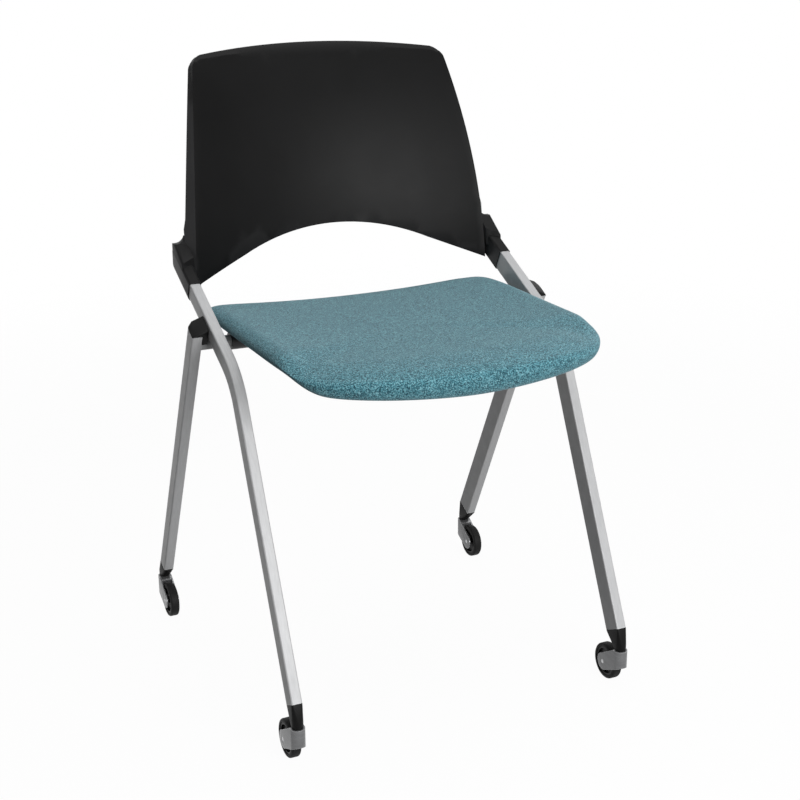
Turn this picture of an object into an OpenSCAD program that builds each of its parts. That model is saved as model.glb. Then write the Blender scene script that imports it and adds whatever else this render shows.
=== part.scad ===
// Nesting chair on four swivel casters, with a seat that tips up.
// Origin on the floor, midway between the legs. The sitter faces -Y, +X is the chair's left hand side
// as drawn from the front, and +Z is up. All lengths are in millimetres.

/* [Leg tubes] */
// Width of the leg tube, across the chair
tube_w = 14.5; // [13:0.5:17]
// Depth of the leg tube, front to back
tube_d = 30; // [26:0.5:34]
// Wall of the leg tube
tube_wall = 1.6; // [1:0.1:2.5]
// Radius of the swept rear outer side of the tube
tube_side_r = 12.5; // [8:0.5:13]
// Radius of the front outer edge of the tube
tube_front_r = 2.5; // [2:0.5:4]
// Radius of the two inner edges of the tube
tube_edge_r = 1.8; // [1.7:0.1:3]
// Gap between a front leg and the rear leg outside it
tube_gap = 7; // [5:0.5:10]

/* [Front legs] */
// Lean of the lower straight from the vertical
front_lean = 25.4; // [22:0.2:28]
// Rise of the upper straight from the level
back_rise = 26; // [22:0.5:30]
// Radius of the bend on the centre line
bend_r = 95; // [70:1:120]
// Place of the bend's corner, forward of the origin
bend_front = 49.7; // [40:0.1:60]
// Height of the bend's corner
bend_z = 446.3; // [436:0.1:456]
// Length of the upper straight from the bend's corner into the back's socket
upper_len = 232; // [220:1:240]

/* [Rear legs] */
// Lean of the rear legs from the vertical
rear_lean = 26.8; // [24:0.2:29]
// Distance of the rear leg's top end behind the origin
rear_top_y = 44.4; // [40:0.2:50]
// Height of the rear leg's top end
rear_top_z = 490.8; // [486:0.2:496]
// Height of the leg tubes' lower ends
tube_end_z = 80; // [76:1:86]
// Thickness of the cap over a rear leg's top end
cap_h = 11; // [8:0.5:14]

/* [Cross tube] */
// Diameter of the cross tube that the seat turns on
cross_d = 16; // [14:0.5:18]
// Wall of the cross tube
cross_wall = 2; // [1.5:0.1:3]
// Distance of the cross tube behind the origin
cross_y = 50.5; // [48:0.5:54]
// Diameter of the stop pins in the cross tube
stop_pin_d = 4; // [3:0.5:5]
// Height of a stop pin above the cross tube's skin
stop_pin_h = 2.3; // [1.8:0.1:2.5]

/* [Back] */
// Radius of the back across the chair at its waist
back_waist_r = 582.3; // [560:0.1:610]
// Radius of the back's upright curve
back_profile_r = 724.3; // [680:0.1:770]
// Height of the waist, where the back stands upright
back_waist_z = 517; // [505:1:530]
// Distance of the waist's front face behind the origin
back_waist_y = 182.7; // [180:0.1:186]
// Thickness of the panel, front to back
panel_t = 4; // [3.5:0.5:5]
// Depth of the rim at the waist's height
rim_low_d = 28; // [25:0.5:31]
// Depth of the rim at the top edge
rim_top_d = 7.6; // [7:0.2:10]
// Wall of the rim
rim_wall = 4; // [3:0.5:5]
// Radius of the side outline
side_outline_r = 930; // [860:5:1000]
// How far the side outline's widest place lies outside the front legs' inner faces
side_over = 16.26; // [14:0.02:18]
// Height of the side outline's widest place
side_widest_z = 473; // [460:1:485]
// Height of the top edge at the middle
back_top_z = 833; // [826:0.5:840]
// Depth of the top edge behind the front face's top
top_edge_back = 6.5; // [5.5:0.1:8]
// Height of the bevel along the top edge
top_bevel_h = 8.4; // [7:0.1:9]
// Radius of the top edge's bow
top_bow_r = 770; // [700:10:900]
// Radius of the bow of the bevel along the top edge
bevel_bow_r = 1100; // [1000:10:1300]
// Radius of the top corners
top_corner_r = 14; // [11:0.5:18]
// Height of the arch under the back, at the middle
arch_z = 585.4; // [580:0.2:590]
// Radius of the arch
arch_r = 345; // [335:1:355]
// Slope of the arch's straight ends, in degrees
arch_fall = 21.6; // [20:0.2:23]
// Wall of the sockets that hold the legs
socket_wall = 1.3; // [1:0.1:2]
// Place along the upper straight where the socket starts, from the bend's corner
socket_start = 177; // [170:1:182]
// Distance of the socket's rear end behind the origin
socket_end_y = 173; // [170:1:178]
// Radius of the hollow between a socket and the side of the back
web_r = 17; // [12:1:20]
// Angle by which a socket's front face rises away from the leg's
socket_rise = 9.2; // [7:0.1:11]
// Height of a socket's top outer corner above the leg's centre line
web_rise = 25; // [20:0.5:28]

/* [Seat] */
// Half width of the cushion
seat_half_w = 218; // [206:1:232]
// Gap between the cushion's side and a front leg
seat_side_gap = 8.5; // [7:0.5:12]
// Distance of the widest place of the seat, forward of the origin
seat_mid_front = 69.4; // [60:0.2:90]
// Reach of the cushion in front of the origin
seat_front = 268.6; // [262:0.2:280]
// How far the front edge bows forward, from its corners to its middle
seat_bow = 42; // [34:1:56]
// Reach of the cushion behind the origin
seat_rear = 143; // [138:0.5:150]
// Height of the middle of the cushion's side edge
seat_edge_z = 492.4; // [492:0.2:498]
// Half thickness of the cushion's side edge
seat_edge_h = 9.9; // [9:0.1:10.5]
// Drop of the front edge's underside below the side edge's
nose_low_drop = 29.5; // [22:0.5:31]
// Drop of the front edge's top below the side edge's
nose_top_drop = 10; // [8:0.5:14]
// Distance where the underside starts to drop, forward of the origin
nose_low_front = 170; // [160:1:176]
// Distance where the top starts to drop, forward of the origin
nose_top_front = 150; // [140:1:170]
// Length of the drop, front to back
nose_len = 57; // [50:1:66]
// Drop of the rear edge's top below the side edge's, at the middle
seat_rear_drop = 12; // [8:0.5:13]
// Inward reach of the cushion's rolled edge
seat_roll = 13; // [10:0.5:14]
// Depth of the dish in the middle of the cushion
seat_dish = 8; // [4:0.5:12]
// Inset of the seat pan's edge from the cushion's edge
pan_inset = 20; // [18:0.5:26]
// Thickness of the seat pan
pan_t = 5; // [4:0.5:6]
// Radius of the pan's bent front
pan_bend_r = 234; // [220:2:260]
// Distance of the start of the pan's bend, forward of the origin
pan_bend_front = 170; // [160:1:180]
// How far the seat tips up, in degrees
seat_tip = 78; // [60:1:85]

/* [Seat hinge] */
// Outer diameter of the hinge barrel
barrel_d = 24; // [22:0.5:24]
// Distance of the hinge's inner end inside the cushion's side
hinge_inset = 46; // [40:1:52]
// Distance of the barrel's outer end inside the cushion's side
barrel_inset = 12; // [6:1:14]
// Length of the hinge's foot, front to back
foot_len = 76; // [66:1:90]
// Width of the hinge's foot
foot_w = 22; // [18:1:24]
// Thickness of the hinge's foot
foot_t = 4.5; // [4:0.5:6]
// Diameter of the hinge screws
screw_d = 5; // [4:0.5:6]
// Diameter of the hinge screws' heads
screw_head_d = 9; // [8:0.5:10]
// Height of the hinge screws' heads
screw_head_h = 2.6; // [2:0.2:3]

/* [Casters] */
// Diameter of the wheels
wheel_d = 50; // [46:0.5:52]
// Width of the tyres
wheel_w = 13; // [11:0.5:13.5]
// Distance of the axle behind the swivel
trail = 28; // [26:0.5:30]
// Height of the leg ferrule's lower face above the floor
ferrule_z = 54; // [53:0.5:58]
// Diameter of the ferrule's round lower end
ferrule_d = 15; // [13:0.5:17]
// Width of the fork over its arms
fork_w = 19; // [18:0.5:22]
// Thickness of the fork's band
fork_t = 2; // [1.5:0.1:2.2]
// Height of the fork's band
fork_h = 24; // [20:0.5:26]
// Diameter of the swivel stem
stem_d = 7; // [6:0.5:8]
// Reach of the stem into the ferrule
stem_reach = 15.5; // [12:0.5:17]
// Diameter of the axle
axle_d = 5; // [4:0.5:6]
// Thickness of the tyre
tyre_t = 5; // [4:0.5:7]

/* [Fits] */
// Running clearance on the radius of a pin that turns
run_fit = 0.05; // [0.03:0.01:0.1]
// Clearance on the radius of a pin that is held
held_fit = 0.02; // [0.01:0.01:0.04]
// Gap between pieces that are joined side by side
joint_gap = 0.1; // [0.05:0.05:0.2]
// Gap between pieces that turn past each other
turn_gap = 0.3; // [0.3:0.1:0.6]
// Gap between the seat pan and the cushion over it
pad_gap = 0.6; // [0.5:0.1:0.9]

/* [Hidden] */
$fn = 96;
// Overrun of every cut
over = 1;
// Draft of the back's side walls, fall of its top face toward the rear and rise of the bevel before it
side_draft = 25;
top_fall = 20;
bevel_rise = 45;

LEFT = -1;
RIGHT = 1;
CORNERS = ["front_left", "front_right", "rear_left", "rear_right"];

// Inner face of the front legs and of the rear legs, from the middle of the chair
leg_x = seat_half_w + seat_side_gap;
rear_leg_x = leg_x + tube_w + tube_gap;

// Front leg
bend_turn = 90 - back_rise - front_lean;
bend_y = -bend_front;
bend_tangent = bend_r * tan(bend_turn / 2);
// Each half of the front leg carries this share of the bend, so the halves overlap in the middle
bend_share = 2 / 3;
front_end_y = bend_y - (bend_z - tube_end_z) * tan(front_lean);

// Rear leg
rear_end_y = rear_top_y + (rear_top_z - tube_end_z) * tan(rear_lean);
rear_len = (rear_top_z - tube_end_z) / cos(rear_lean);

// Cross tube: tangent to the underside of the front legs
cross_r = cross_d / 2;
cross_z = bend_z + (cross_y - bend_y) * tan(back_rise) - (tube_d / 2 + cross_r + joint_gap) / cos(back_rise);

// Distance of the cross tube's axis below the rear leg's end, along the rear leg
cross_below = (cross_y - rear_top_y) * sin(rear_lean) + (rear_top_z - cross_z) * cos(rear_lean);
// The cap's tongue ends just above the cross tube
tongue_len = cross_below - cross_r - joint_gap;
// Depth of the plugs of the caps and ferrules in their tubes
plug_len = tube_w * 0.8;

// Back
back_axis_y = back_waist_y - back_waist_r;
back_half_turn = 27;
back_low_z = back_waist_z - tube_d * 2;
back_high_z = back_top_z + tube_d;
// Reach of the side outline at its widest, square to the side walls' draft
side_reach = (leg_x + side_over) * cos(side_draft) - back_waist_y * sin(side_draft);
// Angle by which the rim's rear face leans toward the panel, going up
rim_lean = atan((rim_low_d - rim_top_d) / (back_top_z - back_waist_z));
// Front face's top edge at the middle
face_top_z = back_top_z - top_bevel_h;
face_top_y = back_axis_y + back_waist_r + back_profile_r
    - sqrt(pow(back_profile_r, 2) - pow(face_top_z - back_waist_z, 2));
top_edge_y = face_top_y + top_edge_back;
socket_z = bend_z + (socket_end_y - bend_y) * tan(back_rise);
// Half width of the arch's round part, and how far its straight ends lie inside the tangents there
arch_half = arch_r * sin(arch_fall);
arch_lap = tube_edge_r / 6;
// How far a top corner's round reaches past the two faces that it joins
corner_lap = arch_lap / 3;

// Seat
seat_mid_y = -seat_mid_front;
pan_z = seat_edge_z - seat_edge_h + pan_t;
pan_low_z = pan_z - pan_t;
// Where the rear edge starts to fall
rear_start_y = cross_y;
// Share of the front edge's drop that its corners lack, and of the rear edge's
corner_lift = 0.43;
rear_lift = 0.84;
// Exponent of the front corners' lift
lift_power = 1.5;
// Number of points round the seat's outline, and how far they crowd into its corners, in degrees
outline_n = 52;
outline_crowd = 7.9;
// Exponents of the outline's front half and rear half
front_power = 6.1;
rear_power = 7.7;

// Hinges
hinge_inner_x = seat_half_w - hinge_inset;
barrel_outer_x = seat_half_w - barrel_inset;

// Casters
wheel_r = wheel_d / 2;
stem_r = stem_d / 2;
stem_top_z = ferrule_z + stem_reach;
fork_top_z = ferrule_z - turn_gap;
fork_low_z = fork_top_z - fork_h;
// Underside of the fork's top plate
fork_plate_z = fork_top_z - fork_h * 0.4;
fork_end_r = fork_h / 2;
// The arms run into their round ends a little inside the ends' edge
fork_arm_r = 0.96 * fork_end_r;
fork_gap_w = fork_w - 2 * fork_t;
stem_head_r = stem_r * 1.55;
stem_head_t = stem_r * 0.45;
front_stem_y = front_end_y - (tube_end_z - ferrule_z) * tan(front_lean);
rear_stem_y = rear_end_y + (tube_end_z - ferrule_z) * tan(rear_lean);

// Half angle that a stop pin takes up in the barrel, with the turning gap
stop_half = asin(stop_pin_d / 2 / cross_r) + atan(turn_gap / cross_r);

// Colours
SILVER = "#c9ccce";
CHROME = "#a9adb0";
STEEL = "#8d9194";
BLACK = "#26272a";
RUBBER = "#1b1b1d";
TEAL = "#5f9aa0";

// Vector helpers
function unit(v) = v / norm(v);

// Draws its children on the chosen side of the chair
module on_side(side) {
    mirror([side == LEFT ? 1 : 0, 0, 0]) children();
}

// The waste outside a rounded outer corner at [x, y]; sx and sy point out of the corner
module corner_waste(x, y, sx, sy, r) {
    translate([x, y])
        scale([sx, sy])
            translate([-r, -r])
                difference() {
                    square(r + over);
                    circle(r);
                }
}

// Outline of a leg tube: x runs outward from the inner face, y runs back from the front face.
// The rear outer side sweeps in, and grow moves every face outward.
module tube_outline(grow = 0) {
    w = tube_w + 2 * grow;
    d = tube_d + 2 * grow;
    translate([-grow, -grow])
        difference() {
            square([w, d]);
            corner_waste(w, d, 1, 1, tube_side_r + grow);
            corner_waste(w, 0, 1, -1, tube_front_r + grow);
            corner_waste(0, 0, -1, -1, tube_edge_r + grow);
            corner_waste(0, d, -1, 1, tube_edge_r + grow);
        }
}

// Hollow section of a leg tube
module tube_section() {
    difference() {
        tube_outline();
        tube_outline(-tube_wall);
    }
}

// Places an outline's extrusion at a point [y, z] of a leg's centre line; lean turns it about X
module along_leg(x, at, lean) {
    translate([x, at[0], at[1]])
        rotate([-lean, 0, 0])
            translate([0, -tube_d / 2, 0])
                children();
}

// Point of the upper straight's centre line, s from the bend's corner
function upper_at(s) = [bend_y + s * cos(back_rise), bend_z + s * sin(back_rise)];

// Section of the tube beside the bend's centre, its front face on the outside of the bend
module bend_section(grow = 0) {
    translate([bend_r + tube_d / 2, 0])
        rotate([0, 0, 90])
            tube_outline(grow);
}

// Part of the bend, and the straight of the given length that starts where the bend does
module half_leg(len) {
    union() {
        rotate_extrude(angle = bend_turn * bend_share, $fn = 160)
            bend_section();
        rotate([90, 0, 0])
            linear_extrude(len)
                bend_section();
    }
}

// Bore of a straight of the given length
module half_bore(len) {
    rotate([90, 0, 0])
        linear_extrude(len + over)
            bend_section(-tube_wall);
}

// Front leg: upper straight, bend and lower straight of one tube
module front_tube(side) {
    low_len = (bend_z - tube_end_z) / cos(front_lean) - bend_tangent;
    high_len = upper_len - bend_tangent;
    mid = 90 + back_rise + bend_turn / 2;
    reach = bend_r / cos(bend_turn / 2);
    color(SILVER)
        on_side(side)
            translate([leg_x, bend_y - reach * cos(mid), bend_z - reach * sin(mid)])
                rotate([90, 0, 90])
                    rotate([0, 0, 90 + back_rise])
                        difference() {
                            union() {
                                half_leg(high_len);
                                rotate([0, 0, bend_turn])
                                    mirror([0, 1, 0])
                                        half_leg(low_len);
                            }
                            half_bore(high_len);
                            rotate([0, 0, bend_turn])
                                mirror([0, 1, 0])
                                    half_bore(low_len);
                        }
}

// Rear leg: one straight tube outside the front leg
module rear_tube(side) {
    color(SILVER)
        on_side(side)
            along_leg(rear_leg_x, [rear_end_y, tube_end_z], -rear_lean)
                linear_extrude(rear_len)
                    tube_section();
}

// Cross tube, welded under the front legs and between the rear legs; the seat turns on it
module cross_tube() {
    half = rear_leg_x - joint_gap;
    color(SILVER)
        difference() {
            translate([-half, cross_y, cross_z])
                rotate([0, 90, 0])
                    difference() {
                        cylinder(d = cross_d, h = 2 * half);
                        translate([0, 0, -over])
                            cylinder(d = cross_d - 2 * cross_wall, h = 2 * (half + over));
                    }
            for (side = [LEFT, RIGHT])
                stop_pin_at(side, stop_pin_d / 2 + held_fit, 2 * over);
        }
}

// A stop pin points down out of the cross tube, in the slot of its hinge barrel
module stop_pin_at(side, r, extra) {
    translate([side * stop_pin_x(), cross_y, cross_z - cross_r - stop_pin_h - extra])
        cylinder(r = r, h = stop_pin_h + cross_wall + over + 2 * extra);
}
function stop_pin_x() = hinge_inner_x + stop_pin_d;

// The two pins that stop the seat at both ends of its turn
module stop_pins() {
    color(STEEL)
        for (side = [LEFT, RIGHT])
            stop_pin_at(side, stop_pin_d / 2, 0);
}

// Outline of a cap: the tube's outline carried inward over the gap to the front leg
module cap_outline(inset = 0) {
    reach = tube_gap - joint_gap;
    union() {
        tube_outline(-inset);
        translate([-reach, inset])
            square([reach + tube_w / 2, tube_d - 2 * inset]);
    }
}

// Cap on a rear leg: a bevelled lid, a plug in the tube and a tongue between the two legs
module leg_cap(side) {
    bevel = cap_h / 6;
    color(BLACK)
        on_side(side)
            along_leg(rear_leg_x, [rear_top_y, rear_top_z], -rear_lean)
                union() {
                    hull() {
                        translate([0, 0, joint_gap])
                            linear_extrude(cap_h - bevel - joint_gap)
                                cap_outline($fn = 32);
                        linear_extrude(cap_h)
                            cap_outline(bevel, $fn = 32);
                    }
                    translate([0, 0, -plug_len])
                        linear_extrude(plug_len + bevel)
                            tube_outline(-tube_wall - joint_gap);
                    translate([joint_gap - tube_gap, 0, -tongue_len])
                        cube([tube_gap - 2 * joint_gap, tube_d, tongue_len + bevel]);
                }
}

// All space behind the back's front face, down to the low level or further by extra
module behind_face(extra = 0) {
    translate([0, back_axis_y, back_waist_z])
        rotate([0, 0, 90 - back_half_turn])
            rotate_extrude(angle = 2 * back_half_turn)
                intersection() {
                    translate([back_waist_r + back_profile_r, 0])
                        circle(back_profile_r, $fn = 360);
                    translate([back_waist_r - over, back_low_z - back_waist_z - extra])
                        square([seat_half_w, back_high_z - back_low_z + extra]);
                }
}

// All space behind the panel's rear face
module behind_panel() {
    translate([0, panel_t, 0])
        behind_face();
}

// All space behind the rim's rear face, which leans toward the panel going up
module behind_rim() {
    translate([0, back_waist_y + rim_low_d, back_waist_z])
        rotate([rim_lean, 0, 0])
            translate([0, -back_waist_y, -back_waist_z])
                behind_face(tube_d);
}

// Everything inside one side wall of the back: a wide arc, drawn out along the side draft
module inside_side_wall(side, inset) {
    on_side(side)
        rotate([0, 0, -side_draft])
            translate([side_reach - inset - side_outline_r, 3 * seat_half_w, side_widest_z])
                rotate([90, 0, 0])
                    cylinder(r = side_outline_r, h = 4 * seat_half_w, $fn = 720);
}

// Everything under the back's top face: a bow drawn out along the top's fall
module inside_top_face(inset) {
    translate([0, top_edge_y, back_top_z])
        rotate([-top_fall, 0, 0])
            translate([0, seat_half_w, -inset - top_bow_r])
                rotate([90, 0, 0])
                    cylinder(r = top_bow_r, h = 2 * seat_half_w, $fn = 720);
}

// The waste before the bevel that runs along the top edge
module bevel_waste() {
    translate([0, face_top_y, face_top_z])
        rotate([bevel_rise, 0, 0])
            translate([0, seat_half_w, bevel_bow_r])
                rotate([90, 0, 0])
                    cylinder(r = bevel_bow_r, h = 2 * seat_half_w, $fn = 720);
}

// The arch cut out under the back: round in the middle, with straight ends
module arch_cut(inset) {
    top = arch_z + inset;
    fall_z = top - arch_r + arch_r * cos(arch_fall) - arch_lap;
    end_z = fall_z - (leg_x - arch_half) * tan(arch_fall);
    translate([0, 2 * seat_half_w, 0])
        rotate([90, 0, 0]) {
            translate([0, top - arch_r, 0])
                cylinder(r = arch_r, h = 3 * seat_half_w, $fn = 360);
            for (side = [LEFT, RIGHT])
                scale([side, 1, 1])
                    linear_extrude(3 * seat_half_w)
                        polygon([
                            [arch_half, back_low_z - over],
                            [arch_half, fall_z],
                            [leg_x, end_z],
                            [leg_x, back_low_z - over]
                        ]);
        }
}

// Where the side wall meets the top face, on the top edge
corner_z = back_top_z - top_corner_r;
corner_drop = corner_z - side_widest_z;
corner_reach = side_reach - side_outline_r + sqrt(pow(side_outline_r, 2) - pow(corner_drop, 2));
corner_y = top_edge_y - 2 * top_corner_r;
corner_x = (corner_reach + corner_y * sin(side_draft)) / cos(side_draft);
corner_slope = asin(corner_drop / side_outline_r);
corner_bow = asin(corner_x / top_bow_r);
// Outward normals there of the side wall and of the top face, and the line along which they meet
side_normal = [cos(side_draft) * cos(corner_slope), -sin(side_draft) * cos(corner_slope), sin(corner_slope)];
top_normal = [sin(corner_bow), cos(corner_bow) * sin(top_fall), cos(corner_bow) * cos(top_fall)];
corner_line = unit(cross(top_normal, side_normal));

// The waste outside a rounded top corner, along the line where the side wall meets the top face
module top_corner_waste(inset) {
    r = top_corner_r - inset;
    tilt = acos(corner_line[2]);
    turn = atan2(corner_line[1], corner_line[0]);
    ex = [cos(tilt) * cos(turn), cos(tilt) * sin(turn), -sin(tilt)];
    ey = [-sin(turn), cos(turn), 0];
    side_2d = [side_normal * ex, side_normal * ey];
    top_2d = [top_normal * ex, top_normal * ey];
    bisector = unit(side_2d + top_2d);
    centre = -bisector * (top_corner_r - corner_lap) / (bisector * side_2d);
    far = 4 * top_corner_r;
    translate([corner_x, corner_y, corner_z])
        rotate([0, tilt, turn])
            translate([0, 0, -seat_half_w])
                linear_extrude(2 * seat_half_w)
                    difference() {
                        polygon([centre, centre + side_2d * far, centre + (side_2d + top_2d) * far, centre + top_2d * far]);
                        translate(centre)
                            circle(r);
                    }
}

// The back's panel with its rim, before the sockets
module back_panel() {
    difference() {
        intersection() {
            behind_face();
            inside_side_wall(LEFT, 0);
            inside_side_wall(RIGHT, 0);
            inside_top_face(0);
        }
        behind_rim();
        bevel_waste();
        arch_cut(0);
        for (side = [LEFT, RIGHT])
            on_side(side)
                top_corner_waste(0);
        difference() {
            intersection() {
                behind_panel();
                inside_side_wall(LEFT, rim_wall);
                inside_side_wall(RIGHT, rim_wall);
                inside_top_face(rim_wall);
            }
            arch_cut(rim_wall);
            for (side = [LEFT, RIGHT])
                on_side(side)
                    top_corner_waste(rim_wall);
        }
        for (side = [LEFT, RIGHT])
            on_side(side)
                translate([leg_x, 0, 0])
                    cube([seat_half_w, seat_half_w, socket_z]);
    }
}

// Outline of a socket's upper part: it reaches inward to the back's rim, and ends inside the sleeve
module web_outline() {
    grow = socket_wall - arch_lap;
    w = rim_wall + tube_w + grow;
    translate([-rim_wall, -grow])
        difference() {
            square([w, tube_d * 0.6]);
            corner_waste(w, 0, 1, -1, tube_front_r + grow);
        }
}

// One socket: a sleeve over the leg's end, cut upright at the rear, and above it a part whose front
// face rises more steeply than the leg and whose top sweeps up to the side of the back
module back_socket() {
    sleeve_len = (socket_end_y - upper_at(socket_start)[0]) / cos(back_rise) + tube_d;
    web_x = leg_x + tube_w + socket_wall;
    web_high = socket_z + web_r + web_rise;
    union() {
        intersection() {
            along_leg(leg_x, upper_at(socket_start), 90 - back_rise)
                linear_extrude(sleeve_len)
                    tube_outline(socket_wall);
            translate([leg_x - tube_w, 0, 0])
                cube([3 * tube_w, socket_end_y, back_top_z]);
        }
        intersection() {
            behind_face(tube_d);
            along_leg(leg_x, upper_at(socket_start), 90 - back_rise)
                rotate([socket_rise, 0, 0])
                    translate([0, 0, socket_wall])
                        linear_extrude(sleeve_len)
                            web_outline();
            translate([0, socket_end_y, 0])
                rotate([90, 0, 0])
                    linear_extrude(4 * tube_d)
                        difference() {
                            translate([leg_x - tube_w, back_low_z])
                                square([3 * tube_w, web_high - back_low_z]);
                            translate([web_x, web_high])
                                circle(web_r);
                        }
        }
    }
}

// Back: one moulding of panel, rim and the two sockets that take the legs
module back_shell() {
    pocket_len = upper_len - socket_start + 2 * joint_gap;
    color(BLACK)
        difference() {
            union() {
                back_panel();
                on_side(RIGHT) back_socket();
                on_side(LEFT) back_socket();
            }
            for (side = [LEFT, RIGHT])
                on_side(side)
                    along_leg(leg_x, upper_at(socket_start - over), 90 - back_rise)
                        linear_extrude(pocket_len + over)
                            tube_outline(joint_gap);
        }
}

// Ferrule: a plug in the leg and a body that runs from the leg's outline to a round caster seat
module ferrule(side, x, end_y, stem_y, lean) {
    collar = tube_wall;
    seat_h = ferrule_d * 0.6;
    color(BLACK)
        on_side(side)
            difference() {
                union() {
                    hull() {
                        along_leg(x, [end_y, tube_end_z], lean)
                            translate([0, 0, -collar - joint_gap])
                                linear_extrude(collar)
                                    tube_outline($fn = 32);
                        translate([x + tube_w / 2, stem_y, ferrule_z])
                            cylinder(d = ferrule_d, h = seat_h, $fn = 32);
                    }
                    along_leg(x, [end_y, tube_end_z], lean)
                        translate([0, 0, -collar])
                            linear_extrude(plug_len + collar)
                                tube_outline(-tube_wall - joint_gap);
                }
                translate([x + tube_w / 2, stem_y, ferrule_z - over])
                    cylinder(r = stem_r + held_fit, h = stem_reach + joint_gap + over);
            }
}

// Outline of the seat: a squared oval whose front edge bows forward. The i-th of its points lies at the
// angle turn_of(i), closer to the next one in the corners.
function turn_of(i) = let (u = 360 * i / outline_n) u + outline_crowd * sin(4 * u);
function seat_power(t) = sin(t) < 0 ? front_power : rear_power;
function seat_share(t) = let (p = seat_power(t)) pow(pow(abs(cos(t)), p) + pow(abs(sin(t)), p), -1 / p);
function seat_x(t) = seat_half_w * cos(t) * seat_share(t);
function seat_reach(t) = sin(t) < 0
    ? seat_front + seat_mid_y - seat_bow * pow(seat_x(t) / seat_half_w, 2)
    : seat_rear - seat_mid_y;
function seat_y(t) = seat_mid_y + seat_reach(t) * sin(t) * seat_share(t);

// Rises smoothly from 0 to 1 as a share goes from 0 to 1
function ease(u) = let (v = min(max(u, 0), 1)) v * v * (3 - 2 * v);
function rear_share(y) = ease((y - rear_start_y) / (seat_rear - rear_start_y));
// Height of the top and of the underside of the cushion's edge, at x and y
function edge_top_z(x, y) = seat_edge_z + seat_edge_h - nose_top_drop * ease((-nose_top_front - y) / nose_len)
    - seat_rear_drop * rear_share(y) * (1 - rear_lift * pow(x / seat_half_w, 2));
function edge_low_z(x, y) = seat_edge_z - seat_edge_h
    - nose_low_drop * ease((-nose_low_front - y) / nose_len) * (1 - corner_lift * pow(abs(x) / seat_half_w, lift_power));

// Height of the pan's top: level, then bent down at the front on an arc
function pan_top(y) = pan_z - pan_bend_r + sqrt(pow(pan_bend_r, 2) - pow(max(-pan_bend_front - y, 0), 2));

// Outline point at the angle t, moved toward the middle of the seat by inset
function inset_point(t, inset) =
    let (p = [seat_x(t), seat_y(t) - seat_mid_y], r = norm(p))
    [p[0] * (r - inset) / r, seat_mid_y + p[1] * (r - inset) / r];

// Seat pan: a plate bent down at the front, cut to the inset outline
module seat_pan() {
    outline = [for (i = [0:outline_n - 1]) inset_point(turn_of(i), pan_inset)];
    bend_y0 = -pan_bend_front;
    color(BLACK)
        intersection() {
            translate([0, 0, back_low_z - seat_half_w])
                linear_extrude(2 * seat_half_w)
                    polygon(outline);
            translate([-seat_half_w, 0, 0])
                rotate([90, 0, 90])
                    linear_extrude(2 * seat_half_w)
                        union() {
                            translate([bend_y0, pan_low_z])
                                square([seat_rear - bend_y0, pan_t]);
                            intersection() {
                                translate([bend_y0, pan_z - pan_bend_r])
                                    difference() {
                                        circle(pan_bend_r, $fn = 360);
                                        circle(pan_bend_r - pan_t, $fn = 360);
                                    }
                                translate([-seat_front, pan_low_z - seat_front / 2])
                                    square([seat_front + bend_y0, seat_front]);
                            }
                        }
        }
}

// Places of one hinge's screws, from the middle of the chair and front to back
function screw_places() = [
    for (end = [-1, 1]) [hinge_inner_x + foot_w / 2, cross_y + end * (foot_len / 2 - screw_head_d)]
];

// Hinge block: a barrel round the cross tube, a foot under the pan and a slot for the stop pin
module seat_hinge(side) {
    slot_depth = 2 * stop_pin_d + turn_gap;
    slot_r = cross_r + stop_pin_h + turn_gap;
    color(BLACK)
        on_side(side)
            difference() {
                union() {
                    translate([hinge_inner_x, cross_y, cross_z])
                        rotate([0, 90, 0])
                            cylinder(d = barrel_d, h = barrel_outer_x - hinge_inner_x);
                    translate([hinge_inner_x, cross_y - foot_len / 2, pan_low_z - foot_t])
                        cube([foot_w, foot_len, foot_t]);
                    translate([hinge_inner_x, cross_y - barrel_d / 2, cross_z])
                        cube([foot_w, barrel_d, pan_low_z - cross_z]);
                }
                translate([hinge_inner_x - over, cross_y, cross_z])
                    rotate([0, 90, 0])
                        cylinder(r = cross_r + run_fit, h = barrel_outer_x - hinge_inner_x + 2 * over);
                translate([hinge_inner_x - over, cross_y, cross_z])
                    rotate([90, 0, 90])
                        rotate([0, 0, -90 - stop_half])
                            rotate_extrude(angle = seat_tip + 2 * stop_half)
                                translate([cross_r / 2, 0])
                                    square([slot_r - cross_r / 2, slot_depth + over]);
                for (p = screw_places())
                    translate([p[0], p[1], pan_low_z - foot_t - over])
                        cylinder(r = screw_d / 2 + held_fit, h = foot_t + 2 * over);
            }
}

// Screws that hold the hinges' feet under the pan, their shanks ending at the pan's skin
module hinge_screws() {
    color(STEEL)
        for (side = [LEFT, RIGHT], p = screw_places())
            translate([side * p[0], p[1], pan_low_z - foot_t - screw_head_h - joint_gap])
                union() {
                    cylinder(d = screw_head_d, h = screw_head_h);
                    cylinder(d = screw_d, h = screw_head_h + foot_t);
                }
}

// Rings of the cushion, from the middle of its underside round the edge to the middle of its top.
// Shares of the way out from the middle, under the cushion and on top of it.
under_shares = [0.36, 0.5, 0.62, 0.72, 0.8, 0.87, 0.935, 1];
crown_shares = [0.96, 0.88, 0.76, 0.6, 0.4, 0.2];
roll_steps = 6;
under_inset = pan_inset - seat_roll / 4;

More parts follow.
